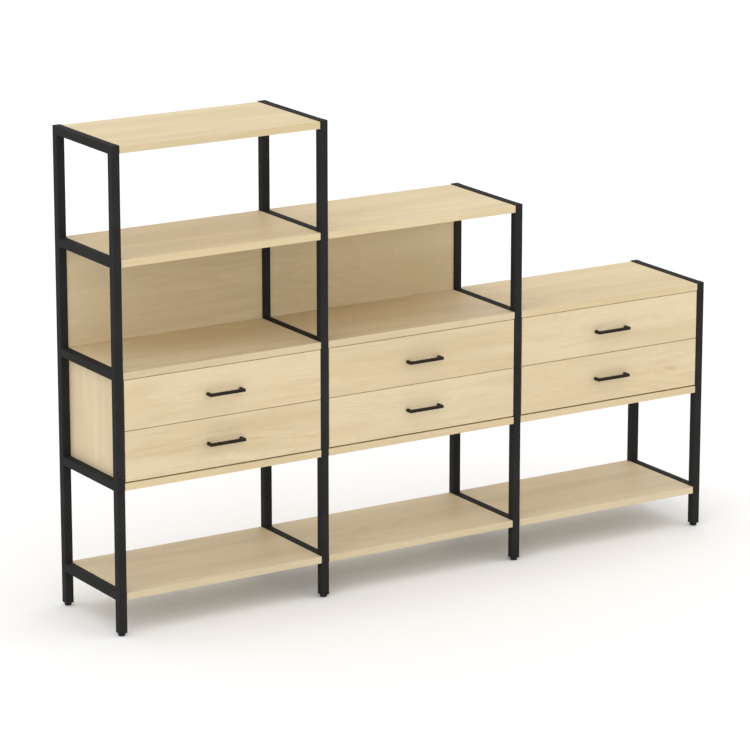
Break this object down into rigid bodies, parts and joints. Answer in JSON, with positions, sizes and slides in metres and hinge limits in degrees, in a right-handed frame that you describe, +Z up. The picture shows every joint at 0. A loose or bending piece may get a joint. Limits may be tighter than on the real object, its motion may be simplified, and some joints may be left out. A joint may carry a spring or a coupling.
{
  "type": "shelving unit with drawers",
  "caption": "Stepped free-standing shelving unit: black steel ladder frames carry pale oak boards, open compartments and drawers on side runners with bow handles.",
  "frame": {"origin": "on the floor under the middle of the whole unit's box, handles included", "axes": "+X along the unit towards the low bay, -Y out of the front, +Z up"},
  "size_m": [2.43, 0.45, 1.695],
  "materials": {
    "oak_board": "matt pale oak melamine with fine grain",
    "drawer_board": "matt melamine of the drawer boxes",
    "black_steel": "matt black powder coat",
    "handle_black": "matt black coat",
    "zinc_steel": "bright zinc plate",
    "black_plastic": "moulded black plastic"
  },
  "bodies": {
    "unit": {"frame_1": "black_steel", "frame_2": "black_steel", "frame_3": "black_steel", "frame_4": "black_steel", "foot_1_front": "black_plastic", "foot_1_rear": "black_plastic", "foot_2_front": "black_plastic", "foot_2_rear": "black_plastic", "foot_3_front": "black_plastic", "foot_3_rear": "black_plastic", "foot_4_front": "black_plastic", "foot_4_rear": "black_plastic", "shelf_left_1": "oak_board", "shelf_left_2": "oak_board", "shelf_left_3": "oak_board", "shelf_left_4": "oak_board", "shelf_left_5": "oak_board", "shelf_middle_1": "oak_board", "shelf_middle_2": "oak_board", "shelf_middle_3": "oak_board", "shelf_middle_4": "oak_board", "shelf_right_1": "oak_board", "shelf_right_2": "oak_board", "shelf_right_3": "oak_board", "back_panel_left": "oak_board", "back_panel_middle": "oak_board", "carcass_left": "oak_board", "carcass_middle": "oak_board", "carcass_right": "oak_board", "runner_left_lower_left": "zinc_steel", "runner_left_lower_right": "zinc_steel", "runner_left_upper_left": "zinc_steel", "runner_left_upper_right": "zinc_steel", "runner_middle_lower_left": "zinc_steel", "runner_middle_lower_right": "zinc_steel", "runner_middle_upper_left": "zinc_steel", "runner_middle_upper_right": "zinc_steel", "runner_right_lower_left": "zinc_steel", "runner_right_lower_right": "zinc_steel", "runner_right_upper_left": "zinc_steel", "runner_right_upper_right": "zinc_steel"},
    "drawer_left_lower": {"drawer_front_left_lower": "oak_board", "drawer_box_left_lower": "drawer_board", "handle_left_lower": "handle_black"},
    "drawer_left_upper": {"drawer_front_left_upper": "oak_board", "drawer_box_left_upper": "drawer_board", "handle_left_upper": "handle_black"},
    "drawer_middle_lower": {"drawer_front_middle_lower": "oak_board", "drawer_box_middle_lower": "drawer_board", "handle_middle_lower": "handle_black"},
    "drawer_middle_upper": {"drawer_front_middle_upper": "oak_board", "drawer_box_middle_upper": "drawer_board", "handle_middle_upper": "handle_black"},
    "drawer_right_lower": {"drawer_front_right_lower": "oak_board", "drawer_box_right_lower": "drawer_board", "handle_right_lower": "handle_black"},
    "drawer_right_upper": {"drawer_front_right_upper": "oak_board", "drawer_box_right_upper": "drawer_board", "handle_right_upper": "handle_black"}
  },
  "joints": [
    {"name": "slide_left_lower", "type": "slide", "parent": "unit", "child": "drawer_left_lower", "axis": [0, -1, 0], "range_m": [0, 0.26]},
    {"name": "slide_left_upper", "type": "slide", "parent": "unit", "child": "drawer_left_upper", "axis": [0, -1, 0], "range_m": [0, 0.26]},
    {"name": "slide_middle_lower", "type": "slide", "parent": "unit", "child": "drawer_middle_lower", "axis": [0, -1, 0], "range_m": [0, 0.26]},
    {"name": "slide_middle_upper", "type": "slide", "parent": "unit", "child": "drawer_middle_upper", "axis": [0, -1, 0], "range_m": [0, 0.26]},
    {"name": "slide_right_lower", "type": "slide", "parent": "unit", "child": "drawer_right_lower", "axis": [0, -1, 0], "range_m": [0, 0.26]},
    {"name": "slide_right_upper", "type": "slide", "parent": "unit", "child": "drawer_right_upper", "axis": [0, -1, 0], "range_m": [0, 0.26]}
  ]
}
